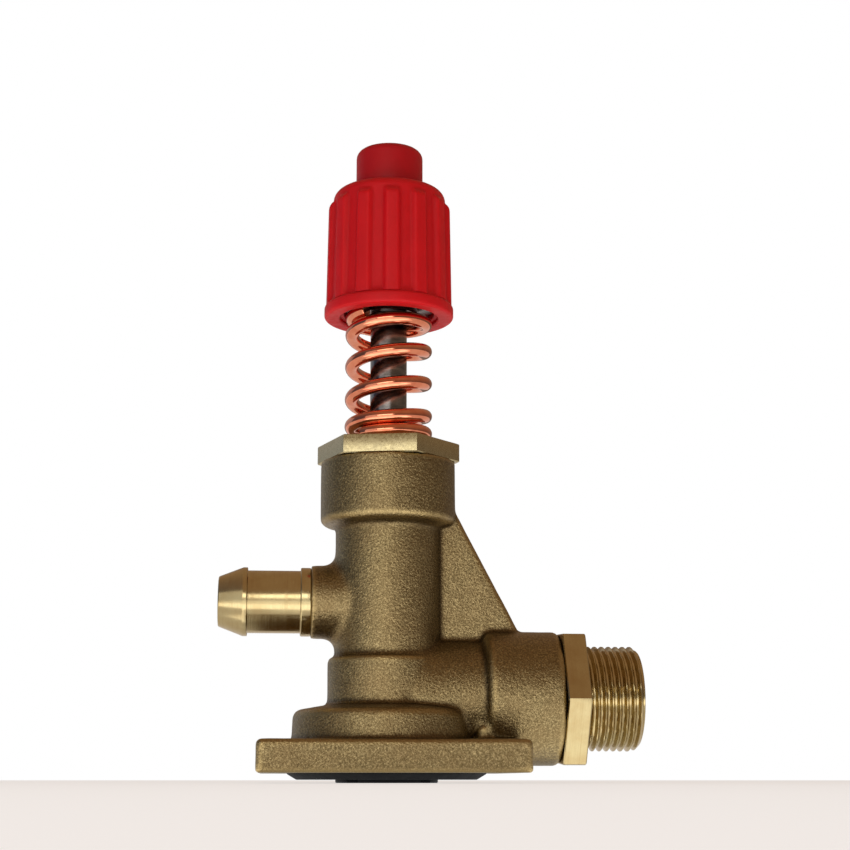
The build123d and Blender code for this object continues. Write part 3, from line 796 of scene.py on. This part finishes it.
def wound_wire(name, mean_r, wire_r, angles, heights, sides=28, place=None):
    """Round wire along a helix of these angles (degrees) and heights (mm), with flat cut ends."""
    turns = np.radians(angles)
    path = np.stack([mean_r * np.cos(turns), mean_r * np.sin(turns), heights], axis=1)
    along_path = np.gradient(path, axis=0)
    along_path /= np.linalg.norm(along_path, axis=1)[:, None]
    outward = np.stack([np.cos(turns), np.sin(turns), np.zeros_like(turns)], axis=1)
    upward = np.cross(outward, along_path)
    section = TURN * np.arange(sides) / sides
    bevel = wire_r / 10
    last = len(path) - 1
    rings = [(0, 0.0, wire_r / 2), (0, 0.0, wire_r - bevel)]
    rings += [(index, bevel if index == 0 else -bevel if index == last else 0.0, wire_r)
              for index in range(len(path))]
    rings += [(last, 0.0, wire_r - bevel), (last, 0.0, wire_r / 2)]
    vertices = []
    for index, shift, radius in rings:
        centre = path[index] + along_path[index] * shift
        across = np.cos(section)[:, None] * outward[index] + np.sin(section)[:, None] * upward[index]
        vertices.extend(((centre + radius * across) * MM).tolist())
    faces = [tuple(range(sides))[::-1], tuple((len(rings) - 1) * sides + side for side in range(sides))]
    for row in range(len(rings) - 1):
        for side in range(sides):
            after = (side + 1) % sides
            faces.append((row * sides + side, row * sides + after,
                          (row + 1) * sides + after, (row + 1) * sides + side))
    mesh = bpy.data.meshes.new(name)
    mesh.from_pydata(vertices, [], faces)
    if place is not None:
        mesh.transform(place)
    collapse_poles(mesh)
    shade(mesh, 40)
    return new_object(name, mesh)


def regulator_spring():
    """Wound right-hand, with a closed turn at each end; on the real valve it shortens as the knob is screwed
    down.
    """
    angles = np.arange(SPRING_START, SPRING_END + 1, 3.0)
    heights = spring_heights(angles)
    piece = wound_wire("regulator_spring_visual", SPRING_MEAN_R, SPRING_WIRE_R, angles, heights)
    dress(piece, "regulator_spring")
    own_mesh(piece)


def check_spring():
    """Light spring behind the check valve's poppet; on the real valve it shortens as the poppet lifts."""
    low, high = low_mm("check_spring", 0), top_mm("check_spring", 0)
    wire_r = 0.5
    turns = 4
    angles = np.arange(0, turns * 360 + 1, 6.0)
    heights = low + wire_r + (high - low - 2 * wire_r) * angles / angles[-1]
    piece = wound_wire("check_spring_visual", CHECK_SPRING_R, wire_r, angles, heights, 12, OUTLET_PLACE)
    dress(piece, "check_spring")
    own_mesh(piece)


# ---------------------------------------------------------------- spindle
def spindle():
    """Stem, grooved piston, rod and the thinner end that the stop nut sits on."""
    tip_r, stem_r, piston_r, groove_r, rod_r, end_r = 1.9, 2.0, 5.95, 4.2, 4.0, 3.0
    tip_top = 22.4
    piston_bottom, groove_bottom, groove_top, piston_top = 43.0, 46.0, 48.86, 51.0
    shoulder = 114.2
    chamfer = 0.6
    bottom = low_mm("spindle")
    end = top_mm("spindle")
    outline = rounded([
        (0, bottom, 0),
        (tip_r, bottom, 0.3),
        (tip_r, tip_top, 0),
        (stem_r, tip_top, 0),
        (stem_r, piston_bottom, 0.3),
        (piston_r, piston_bottom, 0.3),
        (piston_r, groove_bottom, 0),
        (groove_r, groove_bottom, 0.15),
        (groove_r, groove_top, 0.15),
        (piston_r, groove_top, 0),
        (piston_r, piston_top, 0.3),
        (rod_r, piston_top + 1.0, 0.3),
        (rod_r, shoulder, 0.3),
        (end_r, shoulder, 0.1),
        (end_r, end - chamfer, 0),
        (end_r - chamfer, end, 0.1),
        (0, end, 0),
    ])
    return dress(rings_to_mesh("spindle_visual", outline, 96), "spindle")


# ---------------------------------------------------------------- knob
KNOB_RIBS = 13
KNOB_CLOCK = 19.8          # degrees from the X axis to the middle of the first rib
RIB_HALF_WIDTH = 1.8
RIB_EDGE = 1.15            # mm over which a rib's flank falls away
KNOB_STEPS = KNOB_RIBS * 36


def rib_share(radius):
    """1 on top of a rib, 0 between ribs, with soft flanks, at each step round the knob."""
    angles = TURN * np.arange(KNOB_STEPS) / KNOB_STEPS - math.radians(KNOB_CLOCK)
    pitch = TURN / KNOB_RIBS
    off = np.abs((angles + pitch / 2) % pitch - pitch / 2) * radius
    share = np.clip((RIB_HALF_WIDTH + RIB_EDGE * 0.35 - off) / RIB_EDGE, 0, 1)
    return share * share * (3 - 2 * share)


def adjusting_knob():
    """Ribbed knob: a plain rim, tapering ribs that die into the shoulder, and a domed top."""
    low = low_mm("adjusting_knob")
    shoulder = top_mm("adjusting_knob")
    rib_top = 124.8
    rim_top = 100.9
    core_low_r, core_top_r = 13.1, 12.5
    rib_low_r, rib_top_r = 13.9, 13.55
    rim_r = 14.25
    bore_r, insert_r, insert_top = 6.3, 7.5, 114.0
    opening_r, opening_roof = 10.0, 102.0
    rib_rows = 50
    foot_height, foot_reach = 1.6, 0.45     # fillet where the ribs and the core meet the rim
    fade_height, fade_drop = 1.6, 1.2       # stretch over which the ribs die into the shoulder
    outside = rounded([
        (opening_r, low, 0.5),
        (rim_r, low, 0.7),
        (rim_r, rim_top, 0.8),
        (core_low_r + 0.1, rim_top + 0.15, 0),
    ], 6)[:-1]
    rows = list(outside)
    ribs = rib_share(core_low_r)
    for index in range(rib_rows + 1):
        part = index / rib_rows
        height = rim_top + 0.12 + (rib_top + 0.1 - rim_top) * part
        foot = foot_reach * max(0, 1 - (height - rim_top) / foot_height) ** 2
        core = core_low_r + (core_top_r - core_low_r) * part + foot
        crest = rib_low_r + (rib_top_r - rib_low_r) * part
        crest -= fade_drop * max(0, (height - rib_top) / fade_height + 1) ** 2
        rows.append((core + np.maximum(crest - core, 0) * ribs, height))
    dome = rounded([
        (core_top_r, rib_top - 2, 0),
        (core_top_r, shoulder, 2.2),
        (bore_r, shoulder, 0.3),
        (bore_r, insert_top, 0),
        (insert_r, insert_top, 0),
        (insert_r, opening_roof, 0),
        (opening_r, opening_roof, 0.3),
        (opening_r, low + 1, 0),
    ], 10)
    side_r = core_top_r - 0.1
    side_top = rows[-1][1] + 0.05
    rows += [row for row in dome[1:] if not (row[0] > side_r and row[1] < side_top)]
    return dress(rings_to_mesh("adjusting_knob_visual", rows, KNOB_STEPS), "adjusting_knob")


def knob_cap():
    """Plug with a rounded top; it is hollow, to clear the rod when the knob is screwed down."""
    hollow_r, plug_r, head_r = 4.6, 6.2, 7.45
    shoulder = top_mm("adjusting_knob")
    plug_bottom = shoulder - 2.0
    top = top_mm("knob_cap")
    hollow_top = top - 2.2
    outline = rounded([
        (0, hollow_top, 0),
        (hollow_r, hollow_top, 0),
        (hollow_r, plug_bottom, 0),
        (plug_r, plug_bottom, 0.3),
        (plug_r, shoulder, 0),
        (head_r, shoulder, 0.2),
        (head_r, top, 1.9),
        (0, top, 0),
    ], 6)
    return dress(rings_to_mesh("knob_cap_visual", outline, SMOOTH_STEPS), "knob_cap")


# ---------------------------------------------------------------- build
casting()
for make_piece in (
    guide_nut, outlet_nipple, bypass_barb, mounting_seal, seal_under_nut, seal_under_nipple,
    regulator_spring, check_spring, spindle, adjusting_knob, knob_cap,
):
    make_piece()

for node, cad_piece in NODES.items():
    if not cad_piece.hide_render:
        cad_piece.data.materials.clear()
        cad_piece.data.materials.append(MATERIALS[SLOT_OF[node]])


# ---------------------------------------------------------------- floor, light and camera
def floor():
    reach, depth = 1600.0, 40.0
    outline = [(0.0, -depth), (reach, -depth), (reach, 0.0), (0.0, 0.0)]
    place = Matrix.Translation((0, 0, CAD_BOX[0][2]))
    disc = rings_to_mesh("floor", outline, 96, place)
    shader = Shader("floor", Roughness=0.9)
    shader.bsdf.inputs["Specular IOR Level"].default_value = 0.1
    shader.bsdf.inputs["Emission Strength"].default_value = 0.5
    shader.bsdf.inputs["Emission Color"].default_value = (1, 1, 1, 1)
    shader.colour(shader.mix(shader.noise(12, 2.0), (0.74, 0.80, 0.87, 1), (0.77, 0.83, 0.90, 1)))
    disc.data.materials.append(shader.material)


def softbox(name, azimuth, elevation, distance, width, height, radiance, colour=(1, 1, 1)):
    """Area light facing the valve. Azimuth 0 is in front (-Y) and grows towards +X; angles in degrees."""
    light = bpy.data.lights.new(name, "AREA")
    light.shape = "RECTANGLE"
    light.size = width
    light.size_y = height
    light.energy = radiance * math.pi * width * height
    light.color = colour
    made = bpy.data.objects.new(name, light)
    turn, lift = math.radians(azimuth), math.radians(elevation)
    direction = Vector((math.cos(lift) * math.sin(turn), -math.cos(lift) * math.cos(turn), math.sin(lift)))
    centre = Vector((0, 0, 0.05))
    made.location = centre + direction * distance
    made.rotation_euler = direction.to_track_quat("Z", "Y").to_euler()
    bpy.context.scene.collection.objects.link(made)


def floor_card(name, across, deep, radiance):
    """A lit patch of floor that metal can mirror, given its reach along X and Y.

    The camera doesn't see it."""
    light = bpy.data.lights.new(name, "AREA")
    light.shape = "RECTANGLE"
    light.size = across[1] - across[0]
    light.size_y = deep[1] - deep[0]
    light.energy = radiance * math.pi * light.size * light.size_y
    made = bpy.data.objects.new(name, light)
    made.location = (sum(across) / 2, sum(deep) / 2, CAD_BOX[0][2] + 0.1 * MM)
    made.rotation_euler = (math.pi, 0, 0)
    made.visible_camera = False
    bpy.context.scene.collection.objects.link(made)


def lights():
    """A window-like source in front with a brighter strip, a bright sweep on the floor and a cool side."""
    cream = (1.0, 0.99, 0.96)
    softbox("front", -10, 8, 0.95, 0.74, 0.50, 0.66, cream)
    softbox("front_strip", -13, 14, 0.93, 0.66, 0.22, 2.3, cream)
    softbox("front_left", -50, 12, 0.95, 0.55, 0.50, 0.70, cream)
    softbox("left_back", -138, 14, 0.95, 0.9, 0.6, 0.34, (0.80, 0.90, 1.0))
    floor_card("sweep_far", (-0.33, 0.29), (-0.62, -0.150), 0.8)
    floor_card("sweep_near", (-0.20, 0.16), (-0.150, -0.062), 1.75)
    floor_card("sweep_by_outlet", (0.027, 0.046), (-0.070, -0.004), 0.95)
    floor_card("sweep_by_barb", (-0.062, -0.028), (-0.066, -0.012), 1.1)


def surroundings():
    """White backdrop for the camera; past the softboxes, metal mirrors a dim room.

    The room is warm overhead and cool on the left."""
    world = bpy.data.worlds.new("studio")
    world.use_nodes = True
    tree = world.node_tree
    tree.nodes.clear()
    output = tree.nodes.new("ShaderNodeOutputWorld")
    backdrop = tree.nodes.new("ShaderNodeBackground")
    room = tree.nodes.new("ShaderNodeBackground")
    chooser = tree.nodes.new("ShaderNodeMixShader")
    path = tree.nodes.new("ShaderNodeLightPath")
    direction = tree.nodes.new("ShaderNodeTexCoord")
    parts = tree.nodes.new("ShaderNodeSeparateXYZ")
    leftness = tree.nodes.new("ShaderNodeMapRange")
    for name, value in (("From Min", -0.35), ("From Max", -0.90), ("To Min", 0.0), ("To Max", 0.85)):
        leftness.inputs[name].default_value = value
    tint = tree.nodes.new("ShaderNodeMix")
    tint.data_type = "RGBA"
    tint.inputs[7].default_value = (0.09, 0.12, 0.19, 1)
    ramp = tree.nodes.new("ShaderNodeValToRGB")
    ramp.color_ramp.elements[0].position = 0.10
    ramp.color_ramp.elements[0].color = (0.20, 0.16, 0.13, 1)
    ramp.color_ramp.elements[1].position = 0.65
    ramp.color_ramp.elements[1].color = (0.40, 0.26, 0.16, 1)
    backdrop.inputs["Color"].default_value = (1, 1, 1, 1)
    tree.links.new(direction.outputs["Generated"], parts.inputs["Vector"])
    tree.links.new(parts.outputs["Z"], ramp.inputs["Fac"])
    tree.links.new(parts.outputs["X"], leftness.inputs["Value"])
    tree.links.new(leftness.outputs["Result"], tint.inputs[0])
    tree.links.new(ramp.outputs["Color"], tint.inputs[6])
    tree.links.new(tint.outputs[2], room.inputs["Color"])
    tree.links.new(path.outputs["Is Camera Ray"], chooser.inputs["Fac"])
    tree.links.new(room.outputs["Background"], chooser.inputs[1])
    tree.links.new(backdrop.outputs["Background"], chooser.inputs[2])
    tree.links.new(chooser.outputs["Shader"], output.inputs["Surface"])
    bpy.context.scene.world = world


def camera():
    """Low in front, a little to the left, looking up: the photograph's view."""
    look_up, look_right = 12.2, 5.0        # degrees
    data = bpy.data.cameras.new("camera")
    data.sensor_width = 36.0
    data.lens = 69.5
    data.clip_start = 0.01
    made = bpy.data.objects.new("camera", data)
    made.location = (-0.02253, -0.34936, -0.00135)
    made.rotation_euler = (math.radians(90 + look_up), 0, math.radians(-look_right))
    bpy.context.scene.collection.objects.link(made)
    bpy.context.scene.camera = made


floor()
lights()
surroundings()
camera()
bpy.context.scene.view_settings.view_transform = "Standard"
